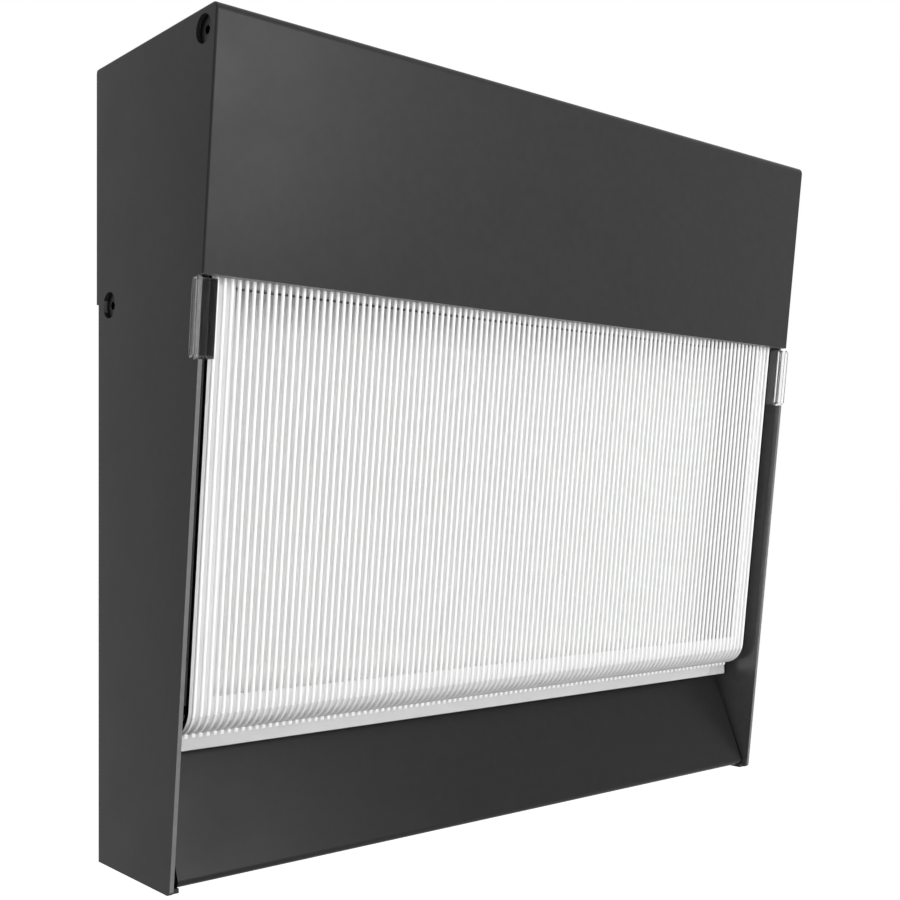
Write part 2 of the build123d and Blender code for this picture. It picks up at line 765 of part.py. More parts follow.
# ================================================================ the cover
with BuildPart() as cover_shell:
    with BuildSketch(across(0)) as side_view:
        with BuildLine():
            Polyline(
                (y_back, z_top),
                (y_front_top, z_top),
                (y_front_foot, z_foot),
                (y_low_back, z_foot),
                (y_low_back, z_step),
                (y_back, z_step),
                close=True,
            )
        make_face()
        fillet(side_view.vertices().sort_by_distance((y_front_top, z_top))[0], bend_outside)
        fillet(side_view.vertices().sort_by_distance((y_front_foot, z_foot))[0], corner_round)
    extrude(amount=width / 2, both=True)
    with BuildSketch(across(0)):
        notch_depth = cut_past + ear_thick + ear_back_gap
        add(sloping_strip(z_ear_foot - ear_foot_gap, z_hood, -cut_past, notch_depth))
    extrude(amount=width / 2 + cut_past, both=True, mode=Mode.SUBTRACT)
    side_edges = edges().group_by(Axis.X)[0] + edges().group_by(Axis.X)[-1]
    fold_edges = side_edges.filter_by(
        lambda edge: edge.center().Z > z_hood + edge_round and edge.center().Y < y_back - edge_round
    )
    fillet(fold_edges, edge_round)
    with BuildSketch(across(0)):
        rectangle_between((y_back - corner_round, z_top - corner_round), (y_back, z_top))
        with Locations((y_back - corner_round, z_top - corner_round)):
            Circle(corner_round, mode=Mode.SUBTRACT)
    extrude(amount=width / 2, both=True, mode=Mode.SUBTRACT)
    with BuildSketch(across(0)) as hollow:
        inner_corner = (behind_front(z_top - sheet, sheet), z_top - sheet)
        with BuildLine():
            Polyline(
                (y_back + cut_past, z_top - sheet),
                inner_corner,
                (behind_front(z_hood + sheet, sheet), z_hood + sheet),
                (behind_front(z_hood + sheet, hood_return), z_hood + sheet),
                (behind_front(z_hood, hood_return), z_hood),
                (y_front_top - cut_past, z_hood),
                (y_front_top - cut_past, z_foot - cut_past),
                (y_back + cut_past, z_foot - cut_past),
                close=True,
            )
        make_face()
        fillet(hollow.vertices().sort_by_distance(inner_corner)[0], bend_inside)
    extrude(amount=inner_half, both=True, mode=Mode.SUBTRACT)
    for side in (-1, 1):
        with BuildSketch(Plane.XY.offset(z_foot)):
            y_tab = y_front_foot + hem_setback
            rectangle_between((side * inner_half, y_low_back), (side * (inner_half - hem_width), y_tab))
            rectangle_between(
                (side * inner_half, y_tab), (side * (inner_half - hem_tab), y_front_foot + corner_round)
            )
        extrude(amount=sheet)
    with BuildSketch(across(0)):
        with Locations(upper_hole, lower_hole):
            Circle(side_hole_radius)
    extrude(amount=width / 2 + cut_past, both=True, mode=Mode.SUBTRACT)
cover_shell.part.label = "cover_shell"
export_step(cover_shell.part, "parts/cover_shell.step")

with BuildPart() as sill:
    sill_line = [
        (y_sill_back, z_panel + sill_rear_height),
        (y_sill_back, z_panel),
        (y_sill_foot, z_panel),
        (y_sill_top, z_shelf),
        (y_lens_rear + shelf_gap, z_shelf),
        (y_lens_rear + shelf_gap, z_shelf + sill_hem),
    ]
    with BuildSketch(across(0)):
        add(sheet_section(sill_line, sill_bend, sheet, Side.RIGHT))
    extrude(amount=inner_half - sill_side_gap, both=True)
sill.part.label = "sill"
export_step(sill.part, "parts/sill.step")

with BuildPart() as lens:
    y_tangent = y_bend - lens_bend * cos(lean)
    z_tangent = z_bend - lens_bend * sin(lean)
    ribs_half = ((rib_count - 1) * rib_pitch + rib_width) / 2
    plate_end = Plane(origin=(0, y_tangent, z_tangent), x_dir=(1, 0, 0), z_dir=(0, -sin(lean), cos(lean)))
    with BuildSketch(plate_end) as ribbed:
        with BuildLine():
            Polyline(
                (-ribs_half, 0), (-lens_half, 0), (-lens_half, lens_plate),
                (lens_half, lens_plate), (lens_half, 0), (ribs_half, 0),
            )
            for rib in range(rib_count):
                x = rib * rib_pitch - ribs_half
                ThreePointArc((x, 0), (x + rib_width / 2, -rib_height), (x + rib_width, 0))
            for land in range(rib_count - 1):
                x = land * rib_pitch + rib_width - ribs_half
                Line((x, 0), (x + rib_pitch - rib_width, 0))
        make_face()
    extrude(amount=(z_lens_top - z_tangent) / cos(lean))
    bend_axis = Axis((0, y_bend, z_bend), (1, 0, 0))
    revolve(ribbed.sketch, axis=bend_axis, revolution_arc=90 - degrees(lean))
    with BuildSketch(across(0)):
        rectangle_between((y_bend, z_floor), (y_lens_rear, z_floor + lens_plate))
        rectangle_between((y_bend, z_floor - lip_drop), (y_bend + lip_thick, z_floor + lens_plate))
    extrude(amount=lens_half, both=True)
    for side in (-1, 1):
        for depth, reach in ((ear_thick, width / 2 + ear_proud - lens_half), (lens_back, ear_web)):
            with BuildSketch(across(side * lens_half)):
                add(sloping_strip(z_ear_foot, z_ear_top, 0, depth))
            extrude(amount=side * reach)
    fillet(faces().sort_by(Axis.X)[0].edges() + faces().sort_by(Axis.X)[-1].edges(), ear_round)
lens.part.label = "lens"
export_step(lens.part, "parts/lens.step")

with BuildPart() as lens_gasket:
    with BuildSketch(across(0)):
        add(sloping_strip(z_hood + seal_foot, z_lens_top - seal_inset, sheet, lens_recess - sheet))
    extrude(amount=lens_half - seal_inset, both=True)
lens_gasket.part.label = "lens_gasket"
export_step(lens_gasket.part, "parts/lens_gasket.step")

with BuildPart() as lens_pad:
    with BuildSketch(across(0)):
        rectangle_between((y_sill_top + pad_inset, z_shelf), (y_lens_rear - pad_inset, z_floor))
    extrude(amount=lens_half - pad_inset, both=True)
lens_pad.part.label = "lens_pad"
export_step(lens_pad.part, "parts/lens_pad.step")

with BuildPart() as lens_frame:
    z_clamp_low = z_hood + clamp_foot
    with BuildSketch(across(0)):
        add(sloping_strip(z_clamp_low, z_clamp_low + clamp_height, lens_back + clamp_gap, clamp_thick))
    extrude(amount=inner_half, both=True)
    for side in (-1, 1):
        with BuildSketch(across(side * inner_half)):
            z_plate_top = z_top - sheet - clamp_head_gap
            add(sloping_strip(z_clamp_low, z_plate_top, sheet + clamp_gap, clamp_plate_depth))
        extrude(amount=-side * clamp_thick)
        with BuildSketch(across(side * inner_half)) as boss:
            z_boss_low = upper_hole[1] - boss_radius
            z_boss_top = z_top - sheet - clamp_gap
            add(sloping_strip(z_boss_low, z_boss_top, sheet + clamp_gap, 2 * boss_radius))
            boss_corner = (behind_front(z_boss_top, sheet + clamp_gap), z_boss_top)
            fillet(boss.vertices().sort_by_distance(boss_corner)[0], corner_round)
        extrude(amount=-side * boss_thick)
        with BuildSketch(across(side * inner_half)):
            with Locations(upper_hole):
                Circle(side_hole_radius)
        extrude(amount=-side * screw_head, mode=Mode.SUBTRACT)
    with BuildSketch(across(0)):
        with Locations(upper_hole):
            Circle(screw_radius + running_gap)
    extrude(amount=inner_half, both=True, mode=Mode.SUBTRACT)
lens_frame.part.label = "lens_frame"
export_step(lens_frame.part, "parts/lens_frame.step")

with BuildPart() as hood_screws:
    for side in (-1, 1):
        add(side_screw(side, upper_hole, hood_screw_end))
hood_screws.part.label = "hood_screws"
export_step(hood_screws.part, "parts/hood_screws.step")

with BuildPart() as hood_nuts:
    nut_planes = [
        Plane(origin=(side * hood_nut_x, *upper_hole), x_dir=(0, 1, 0), z_dir=(-side, 0, 0))
        for side in (-1, 1)
    ]
    add(hexagon_nuts(nut_planes, nut_radius, screw_radius + running_gap, nut_thick))
hood_nuts.part.label = "hood_nuts"
export_step(hood_nuts.part, "parts/hood_nuts.step")

with BuildPart() as hinge_leaf_moving:
    y_leaf = hinge_y - knuckle_radius - knuckle_gap
    z_leaf = z_top - sheet
    knuckle_end = (hinge_length - knuckle_middle) / 2 - knuckle_gap
    for middle in hinge_middles:
        with BuildSketch(across(middle - hinge_length / 2)):
            rectangle_between((hinge_y - hinge_reach, z_leaf - hinge_leaf), (y_leaf, z_leaf))
        extrude(amount=hinge_length)
        for x_start in (middle - hinge_length / 2, middle + hinge_length / 2 - knuckle_end):
            with BuildSketch(across(x_start)):
                rectangle_between((y_leaf, z_leaf - hinge_leaf), (hinge_y, z_leaf))
                with Locations((hinge_y, hinge_z)):
                    Circle(knuckle_radius)
            extrude(amount=knuckle_end)
    with BuildSketch(across(0)):
        with Locations((hinge_y, hinge_z)):
            Circle(hinge_pin_radius + running_gap)
    extrude(amount=width / 2, both=True, mode=Mode.SUBTRACT)
hinge_leaf_moving.part.label = "hinge_leaf_moving"
export_step(hinge_leaf_moving.part, "parts/hinge_leaf_moving.step")

with BuildPart() as lock_brackets:
    for side in (-1, 1):
        with BuildSketch(across(side * inner_half)):
            with Locations(lower_hole):
                RectangleRounded(2 * boss_radius, 3 * boss_radius, corner_round)
        extrude(amount=-side * boss_thick)
        with BuildSketch(across(side * inner_half)):
            with Locations(lower_hole):
                Circle(side_hole_radius)
        extrude(amount=-side * screw_head, mode=Mode.SUBTRACT)
    with BuildSketch(across(0)):
        with Locations(lower_hole):
            Circle(screw_radius + running_gap)
    extrude(amount=inner_half, both=True, mode=Mode.SUBTRACT)
lock_brackets.part.label = "lock_brackets"
export_step(lock_brackets.part, "parts/lock_brackets.step")

with BuildPart() as lock_nuts:
    nut_planes = [
        Plane(origin=(side * lock_nut_x, *lower_hole), x_dir=(0, 1, 0), z_dir=(-side, 0, 0))
        for side in (-1, 1)
    ]
    add(hexagon_nuts(nut_planes, nut_radius, screw_radius + running_gap, nut_thick))
lock_nuts.part.label = "lock_nuts"
export_step(lock_nuts.part, "parts/lock_nuts.step")

# ================================================================ the lock screws
with BuildPart() as lock_screw_left:
    add(side_screw(-1, lower_hole, lock_screw_end))
lock_screw_left.part.label = "lock_screw_left"
export_step(lock_screw_left.part, "parts/lock_screw_left.step")

with BuildPart() as lock_screw_right:
    add(side_screw(1, lower_hole, lock_screw_end))
lock_screw_right.part.label = "lock_screw_right"
export_step(lock_screw_right.part, "parts/lock_screw_right.step")
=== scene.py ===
# %% [markdown]
# # A wall pack light
#
# The light is a charcoal sheet-metal cover with a ribbed clear lens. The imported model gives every
# solid in its true place, in metres, so this script only adds what a solid lacks: rounded edges that
# catch the light, paint with its fine texture, a lens that bends light, a studio and a camera.

# %% Load the frame
from math import asin, atan2, cos, pi, radians, sin, tan

import bmesh
import bpy
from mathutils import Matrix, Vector


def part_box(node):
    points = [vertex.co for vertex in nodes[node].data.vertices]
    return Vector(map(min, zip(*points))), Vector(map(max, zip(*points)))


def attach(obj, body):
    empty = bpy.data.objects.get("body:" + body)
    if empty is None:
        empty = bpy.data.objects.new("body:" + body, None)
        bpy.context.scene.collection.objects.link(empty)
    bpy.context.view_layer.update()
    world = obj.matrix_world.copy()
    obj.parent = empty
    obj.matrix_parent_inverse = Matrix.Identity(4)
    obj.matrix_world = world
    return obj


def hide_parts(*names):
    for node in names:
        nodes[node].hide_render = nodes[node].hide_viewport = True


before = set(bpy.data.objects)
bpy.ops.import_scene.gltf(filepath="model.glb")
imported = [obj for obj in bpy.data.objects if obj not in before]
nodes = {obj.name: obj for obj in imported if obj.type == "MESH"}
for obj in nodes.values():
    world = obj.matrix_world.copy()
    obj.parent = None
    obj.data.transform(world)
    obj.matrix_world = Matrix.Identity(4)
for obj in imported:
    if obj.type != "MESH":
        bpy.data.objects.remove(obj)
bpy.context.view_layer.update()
scene = bpy.context.scene
scene.view_settings.view_transform = "Standard"
MM = 0.001
print("nodes in the frame:", len(nodes))

# %% [markdown]
# ## The camera
#
# The photograph looks at the light from its left and a little below its middle, with the camera held
# level. All upright edges are upright in it, so the framing is moved up with the lens's shift, as an
# architect's camera does, and the camera itself isn't tilted.

# %% Camera
CAMERA_PLACE = Vector((-0.3788, -0.4633, -0.0126))
CAMERA_AIM = Vector((0.6476, 0.7620, 0.0))
FOCAL_LENGTH = 50.64
SHIFT_UP = 0.0532

camera_data = bpy.data.cameras.new("camera")
camera_data.lens = FOCAL_LENGTH
camera_data.sensor_width = 36.0
camera_data.shift_y = SHIFT_UP
camera_data.clip_start = 0.01
camera = bpy.data.objects.new("camera", camera_data)
camera.location = CAMERA_PLACE
camera.rotation_euler = CAMERA_AIM.to_track_quat("-Z", "Y").to_euler()
scene.collection.objects.link(camera)
scene.camera = camera
print("camera at", tuple(round(value, 3) for value in camera.location))

# %% [markdown]
# ## Materials
#
# Each finish is a Principled shader. A number that is the same all over is set on the shader's own
# socket. What varies, such as the grain of a powder coat, comes from noise in object coordinates, so
# that it has a real size and doesn't depend on how a mesh was unwrapped.


# %% A helper that starts a finish
def finish(name, color, roughness, metallic=0.0, **sockets):
    """A new Principled material with constant values. Returns the material, its nodes and links."""
    material = bpy.data.materials.new(name)
    material.use_nodes = True
    tree = material.node_tree
    shader = tree.nodes["Principled BSDF"]
    shader.inputs["Base Color"].default_value = (*color, 1.0)
    shader.inputs["Roughness"].default_value = roughness
    shader.inputs["Metallic"].default_value = metallic
    for socket, value in sockets.items():
        shader.inputs[socket.replace("_", " ")].default_value = value
    return material, tree, shader


def noise(tree, scale, detail=3.0, stretch=(1.0, 1.0, 1.0)):
    """Noise in object coordinates, with `scale` bumps to a metre, stretched along the axes."""
    coordinates = tree.nodes.new("ShaderNodeTexCoord")
    mapping = tree.nodes.new("ShaderNodeMapping")
    mapping.inputs["Scale"].default_value = stretch
    texture = tree.nodes.new("ShaderNodeTexNoise")
    texture.inputs["Scale"].default_value = scale
    texture.inputs["Detail"].default_value = detail
    tree.links.new(coordinates.outputs["Object"], mapping.inputs["Vector"])
    tree.links.new(mapping.outputs["Vector"], texture.inputs["Vector"])
    return texture


def vary(tree, texture, target, low, high):
    """Feeds a socket with the noise, spread between two values."""
    spread = tree.nodes.new("ShaderNodeMapRange")
    spread.inputs["From Min"].default_value = 0.3
    spread.inputs["From Max"].default_value = 0.7
    spread.inputs["To Min"].default_value = low
    spread.inputs["To Max"].default_value = high
    tree.links.new(texture.outputs["Fac"], spread.inputs["Value"])
    tree.links.new(spread.outputs["Result"], target)


def vary_color(tree, texture, shader, dark, light):
    """Feeds the base colour with the noise, spread between two colours."""
    ramp = tree.nodes.new("ShaderNodeValToRGB")
    ramp.color_ramp.elements[0].position = 0.35
    ramp.color_ramp.elements[0].color = (*dark, 1.0)
    ramp.color_ramp.elements[1].position = 0.65
    ramp.color_ramp.elements[1].color = (*light, 1.0)
    tree.links.new(texture.outputs["Fac"], ramp.inputs["Fac"])
    tree.links.new(ramp.outputs["Color"], shader.inputs["Base Color"])


def grain(tree, texture, shader, depth):
    """Bumps the surface by `depth` metres with the noise."""
    bump = tree.nodes.new("ShaderNodeBump")
    bump.inputs["Strength"].default_value = 1.0
    bump.inputs["Distance"].default_value = depth
    tree.links.new(texture.outputs["Fac"], bump.inputs["Height"])
    tree.links.new(bump.outputs["Normal"], shader.inputs["Normal"])


print("finish helpers ready")

# %% [markdown]
# ## Powder coat
#
# The cover, the sill, the pan and the white inside pieces are sprayed with powder and baked. Such a
# coat is even in colour, but it flows into a very fine orange peel that breaks up reflections. Three
# noises do this: one for a faint change of colour, one for the roughness and one for the bumps. The
# gloss is the shader's specular level, low on the charcoal coats, which hardly mirror.


# %% Powder coat
def powder_coat(name, color, spread, roughness, gloss=0.5):
    """Baked powder coat: an even colour with a very fine orange-peel grain."""
    material, tree, shader = finish(name, color, roughness, Specular_IOR_Level=gloss)
    dark = [value * (1 - spread) for value in color]
    light = [value * (1 + spread) for value in color]
    vary_color(tree, noise(tree, 260.0, 4.0), shader, dark, light)
    vary(tree, noise(tree, 40.0, 2.0), shader.inputs["Roughness"], roughness - 0.03, roughness + 0.03)
    grain(tree, noise(tree, 1400.0, 2.0), shader, 0.004 * MM)
    return material


PAINT_GLOSS = 0.10
COVER_PAINT = powder_coat("cover_powder_coat", (0.030, 0.0302, 0.0306), 0.05, 0.34, PAINT_GLOSS)
# Painted shade: the sill has the cover's coat, made darker here.
SILL_PAINTED_SHADE = powder_coat("sill_coat_painted_shade", (0.017, 0.0172, 0.0175), 0.05, 0.34, PAINT_GLOSS)
# Painted light: the inner faces' coat is the cover's charcoal made about three times lighter, with more
# gloss, for the light they reflect.
INSIDE_PAINTED_LIGHT = powder_coat("inside_coat_painted_light", (0.095, 0.0952, 0.0958), 0.05, 0.24, 0.9)
# Painted highlight: a much lighter copy of the cover paint, for the line of light on the panels' cut
# edges.
EDGE_HIGHLIGHT_PAINT = powder_coat("cut_edge_painted_highlight", (0.17, 0.171, 0.174), 0.06, 0.34, PAINT_GLOSS)
PAN_PAINT = powder_coat("pan_powder_coat", (0.036, 0.036, 0.037), 0.06, 0.48, PAINT_GLOSS)
CLAMP_PAINT = powder_coat("clamp_black_paint", (0.014, 0.014, 0.015), 0.08, 0.5, PAINT_GLOSS)
# Painted shade: the reflector's white paint is set to a light grey, so that the strong sheen lamp
# doesn't light it too brightly behind the lens.
REFLECTOR_PAINTED_SHADE = powder_coat("reflector_paint_painted_shade", (0.54, 0.54, 0.536), 0.012, 0.5)
TRAY_WHITE = powder_coat("tray_white_paint", (0.80, 0.80, 0.79), 0.015, 0.42)
DRIVER_WHITE = powder_coat("driver_white_paint", (0.72, 0.72, 0.70), 0.02, 0.4)
print("powder coats made")

# %% [markdown]
# ## Metals
#
# Screws, nuts and hinges are plated steel, the heat sink is bare aluminium and the terminals are brass.
# Drawn metal has fine lines along one axis, so the noise for its bumps and roughness is stretched.


# %% Plated steel, aluminium and brass
def plated(name, color, roughness, stretch):
    """Bare or plated metal with fine drawn lines along one axis."""
    material, tree, shader = finish(name, color, roughness, metallic=1.0)
    dark = [value * 0.88 for value in color]
    vary_color(tree, noise(tree, 90.0, 5.0), shader, dark, color)
    lines = noise(tree, 600.0, 2.0, stretch)
    vary(tree, lines, shader.inputs["Roughness"], roughness - 0.06, roughness + 0.08)
    grain(tree, lines, shader, 0.003 * MM)
    return material


ZINC = plated("zinc_plating", (0.60, 0.60, 0.58), 0.38, (1.0, 0.06, 1.0))
BLACK_OXIDE = plated("black_oxide", (0.022, 0.022, 0.024), 0.42, (1.0, 1.0, 1.0))
MILL_ALUMINIUM = plated("mill_aluminium", (0.74, 0.74, 0.75), 0.34, (0.05, 1.0, 1.0))
BRASS = plated("terminal_brass", (0.72, 0.55, 0.26), 0.32, (1.0, 1.0, 1.0))
GREEN_PLATING = plated("green_passivation", (0.07, 0.32, 0.12), 0.4, (1.0, 1.0, 1.0))
print("metals made")

# %% [markdown]
# ## Rubber, foam and plastic
#
# These take their surface from a mould. One helper serves them all, with a coarse deep grain for the
# foam gasket and a fine shallow one for the hard plastics.


# %% Rubber, plastic and insulation
def moulded(name, color, roughness, grain_scale=500.0, grain_depth=0.006, spread=0.04):
    """Moulded plastic, rubber or foam: a slightly mottled colour and a fine grain."""
    material, tree, shader = finish(name, color, roughness)
    dark = [value * (1 - spread) for value in color]
    light = [value * (1 + spread) for value in color]
    vary_color(tree, noise(tree, 120.0, 4.0), shader, dark, light)
    grain(tree, noise(tree, grain_scale, 3.0), shader, grain_depth * MM)
    return material


FOAM = moulded("gasket_foam", (0.030, 0.030, 0.031), 0.92, 900.0, 0.06, 0.25)
RUBBER = moulded("black_rubber", (0.020, 0.020, 0.021), 0.7, 400.0, 0.01, 0.12)
TERMINAL = moulded("terminal_plastic", (0.70, 0.69, 0.64), 0.45)
NYLON = moulded("natural_nylon", (0.80, 0.80, 0.76), 0.4)
BOARD = moulded("board_solder_mask", (0.84, 0.84, 0.81), 0.34, 300.0, 0.003, 0.02)
PHOSPHOR = moulded("led_phosphor", (0.85, 0.68, 0.18), 0.35, 1500.0, 0.01, 0.08)
INSULATION = {
    "supply_lead_black": moulded("insulation_black", (0.020, 0.020, 0.020), 0.35),
    "supply_lead_white": moulded("insulation_white", (0.80, 0.80, 0.79), 0.35),
    "supply_lead_green": moulded("insulation_green", (0.04, 0.33, 0.09), 0.35),
    "led_lead_red": moulded("insulation_red", (0.50, 0.025, 0.02), 0.35),
    "led_lead_blue": moulded("insulation_blue", (0.025, 0.07, 0.42), 0.35),
}
print("plastics made")

# %% [markdown]
# ## Acrylic
#
# The lens is moulded acrylic, which bends light at both faces. Its narrow ribs are satin white, not
# clear: a painted highlight for the bright lines that the ribs show over the greyer reflector, as they
# scatter the white of the studio. The inside of the lower bend is frosted and white, painted light for
# the brightness seen through it, and the back of the drip lip is a frosted grey, painted light as well.
# The lens's ends are matt black, painted shade. Lamps are reached by straight shadow rays, which clear
# plastic would stop. Here those rays pass straight through the lens, so that the lamps light the
# reflector.


# %% Acrylic
LIGHT_PASSED = 0.77


def let_lamps_through(material):
    """Lets shadow rays pass a material, so that lamps light what lies behind it."""
    tree = material.node_tree
    passing = tree.nodes.new("ShaderNodeBsdfTransparent")
    passing.inputs["Color"].default_value = (LIGHT_PASSED, LIGHT_PASSED, LIGHT_PASSED, 1.0)
    path = tree.nodes.new("ShaderNodeLightPath")
    either = tree.nodes.new("ShaderNodeMixShader")
    tree.links.new(path.outputs["Is Shadow Ray"], either.inputs["Fac"])
    tree.links.new(tree.nodes["Principled BSDF"].outputs["BSDF"], either.inputs[1])
    tree.links.new(passing.outputs["BSDF"], either.inputs[2])
    tree.links.new(either.outputs["Shader"], tree.nodes["Material Output"].inputs["Surface"])


ACRYLIC = finish("clear_acrylic", (0.98, 0.98, 0.98), 0.0, IOR=1.49, Transmission_Weight=1.0)[0]
EAR_ACRYLIC = finish("ear_acrylic", (0.9, 0.9, 0.9), 0.0, IOR=1.2, Transmission_Weight=1.0)[0]
# Frosted, and painted light: its white stands in for the brightness seen through the lens's lower bend.
FROSTED_AND_PAINTED_LIGHT = moulded("frosted_acrylic_painted_light", (0.76, 0.76, 0.76), 0.45, 700.0, 0.004, 0.01)
# Painted highlight: the ribs are clear in the real lens and painted white here.
RIB_PAINTED_HIGHLIGHT = moulded("rib_painted_highlight", (0.97, 0.97, 0.97), 0.25, 700.0, 0.002, 0.005)
for plastic in (ACRYLIC, EAR_ACRYLIC, FROSTED_AND_PAINTED_LIGHT, RIB_PAINTED_HIGHLIGHT):
    let_lamps_through(plastic)
# Painted shade: a dark grey on the ears' backs and webs, for the shade seen through them.
EAR_PAINTED_SHADE = moulded("ear_painted_shade", (0.075, 0.075, 0.076), 0.6, 600.0, 0.006, 0.1)
# Painted shade: matt black on the lens's end faces and in the gaps at the sill's ends, where those are
# in shade.
BLACK_PAINTED_SHADE = powder_coat("black_painted_shade", (0.006, 0.006, 0.006), 0.1, 0.9, 0.0)
# Painted light: the drip lip's back is a frosted grey, standing in for the light seen in the clear lip.
LIP_PAINTED_LIGHT = moulded("lip_painted_light", (0.50, 0.50, 0.50), 0.45, 700.0, 0.004, 0.01)
print("acrylic made")

# %% [markdown]
# ## Finishes on the frame's own nodes
#
# Most nodes already have the right shape, so each only gets a finish. That is the finish of the real
# piece, except on the sill and the reflector, whose paint is darker here: painted shade. Pieces that are
# made from the same stock share one material.

# %% Finish of every node
FINISHES = {
    "wall_gasket": FOAM, "back_pan": PAN_PAINT, "pan_flanges": PAN_PAINT, "entry_grommet": RUBBER,
    "bumpers": RUBBER,
    "hinge_leaf_fixed": ZINC, "hinge_pins": ZINC, "frame_brackets": ZINC, "bracket_screws": ZINC,
    "reflector": REFLECTOR_PAINTED_SHADE, "reflector_nuts": ZINC, "led_tray": TRAY_WHITE,
    "tray_screws": ZINC, "heat_sink": MILL_ALUMINIUM, "led_board": BOARD, "leds": PHOSPHOR,
    "board_screws": ZINC, "driver": DRIVER_WHITE, "driver_screws": ZINC,
    "terminal_block": TERMINAL, "terminal_screws": BRASS, "ground_screw": GREEN_PLATING,
    "lead_clip": NYLON, "led_connector": NYLON, "cover_shell": COVER_PAINT, "sill": SILL_PAINTED_SHADE,
    "lens": ACRYLIC, "lens_gasket": FOAM, "lens_pad": RUBBER, "lens_frame": CLAMP_PAINT,
    "hood_screws": BLACK_OXIDE, "hood_nuts": ZINC, "hinge_leaf_moving": ZINC,
    "lock_brackets": CLAMP_PAINT, "lock_nuts": ZINC, "lock_screw_left": BLACK_OXIDE,
    "lock_screw_right": BLACK_OXIDE, **INSULATION,
}
for node, material in FINISHES.items():
    mesh = nodes[node].data
    mesh.materials.clear()
    mesh.materials.append(material)
print("nodes finished:", len(FINISHES), "of", len(nodes))

# %% [markdown]
# The side panels are cut from sheet, and their narrow cut edges catch a line of light. Here that line is
# painted: those faces take a second, much lighter paint, a painted highlight. They are found by where
# they are: as thin as the sheet, and facing the front or the floor. The panels' inner faces, which look
# at the middle, are coated smoother, so the right one mirrors the lens a little. They take a third
# paint, also lighter than the cover: painted light for what they reflect.

# %% Painted highlight on the cut edges and painted light on the inner faces
PANEL_INSIDE, HOOD_FOOT_Z = 164.9, 63.1
OUTWARD, SLACK = -0.9, 0.1
EDGE, INSIDE = 1, 2
shell = nodes["cover_shell"].data
shell.materials.append(EDGE_HIGHLIGHT_PAINT)
shell.materials.append(INSIDE_PAINTED_LIGHT)
painted = {EDGE: 0, INSIDE: 0}
for face in shell.polygons:
    x, _, z = face.center / MM
    finish_index = 0
    # The cut edges take the painted highlight, and the inner faces the lighter coat, which is painted
    # light.
    if abs(x) > PANEL_INSIDE and z < HOOD_FOOT_Z and min(face.normal.y, face.normal.z) < OUTWARD:
        finish_index = EDGE
    elif abs(abs(x) - PANEL_INSIDE) < SLACK and face.normal.x * x < 0:
        finish_index = INSIDE
    if finish_index:
        face.material_index = finish_index
        painted[finish_index] += 1
print("cut-edge faces:", painted[EDGE], "inner faces:", painted[INSIDE])

# %% [markdown]
# No real edge is sharp, and a narrow rounding catches a line of light. The edges could be rounded in the
# mesh, but these meshes stay as they are, so modifiers do it: a planar decimation clears the triangles
# off the flat faces, then a bevel rounds the edges that are left.

# %% Rounded edges
FLAT_ANGLE, SHARP_ANGLE = radians(0.5), radians(35)


def soften(node, width_mm):
    """Rounds a node's sharp edges by a modifier, so that its own mesh stays as it is."""
    piece = nodes[node]
    flat = piece.modifiers.new("clear_flat_faces", "DECIMATE")
    flat.decimate_type = "DISSOLVE"
    flat.angle_limit = FLAT_ANGLE
    rounding = piece.modifiers.new("rounded_edges", "BEVEL")
    rounding.width = width_mm * MM
    rounding.segments = 2
    rounding.limit_method = "ANGLE"
    rounding.angle_limit = SHARP_ANGLE
    rounding.harden_normals = False


EDGE_WIDTHS = {
    "cover_shell": 0.28, "sill": 0.25, "pan_flanges": 0.25, "frame_brackets": 0.2, "reflector": 0.15,
    "led_tray": 0.2, "heat_sink": 0.15, "led_board": 0.1, "terminal_block": 0.35, "lead_clip": 0.4,
    "lens_frame": 0.2, "lock_brackets": 0.3, "hood_screws": 0.25, "lock_screw_left": 0.25,
    "lock_screw_right": 0.25, "hood_nuts": 0.2, "lock_nuts": 0.2, "reflector_nuts": 0.2,
    "hinge_leaf_fixed": 0.15, "hinge_leaf_moving": 0.15,
}
for node, width_mm in EDGE_WIDTHS.items():
    soften(node, width_mm)
print("nodes with rounded edges:", len(EDGE_WIDTHS))

# %% [markdown]
# ## The ribbed lens
#
# The real lens is one moulding: 107 narrow upright ribs, with flat land between them, on a plate that
# leans with the hood, turns under in a round bend and ends in a drip lip. The solid has this shape, but
# its ribs are cut into a few flat facets, and clear plastic shows every facet. So the lens is made again
# as a grid. Its columns step across the ribs, and its rows step round the section. Shading is smooth
# except where faces meet at a real corner. The ribs have a white finish of their own, a painted
# highlight, and two ears that reach through the side panels are added at the ends.

# %% Lens sizes, in millimetres
HEIGHT, TOP_DEPTH, FOOT_DEPTH = 305.0, 91.6, 58.4
FOOT_Z, FRONT_FOOT_Y = -152.5, -61.6
LEAN = atan2(TOP_DEPTH - FOOT_DEPTH, HEIGHT)
LENS_HALF = 160.0
RIB_PITCH, RIB_WIDTH, RIB_HEIGHT, RIBS = 2.98, 1.5, 0.7, 107
RIB_BASE, PLATE = 5.05, 2.2
FLOOR_Z, BEND, FLOOR_REACH = -97.5, 11.3, 22.0
LIP_DROP, LIP_THICK, LIP_ROUND, LIP_CORNER = 6.9, 2.5, 0.9, 0.3
BEAD_DROP, BEAD_MIDDLE, BEAD_REACH = 2.2, 0.6, 0.9
FROST_RISE, PAINTED_LIGHT_END = 2.5, 9.0
EAR_FOOT_Z, EAR_TOP_Z, EAR_OUT = 34.9, 61.9, 169.0
EAR_THICK, EAR_WEB, EAR_GAP, EAR_ROUND = 3.0, 2.5, 0.02, 0.8
LENS_TOP_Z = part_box("lens")[1][2] / MM


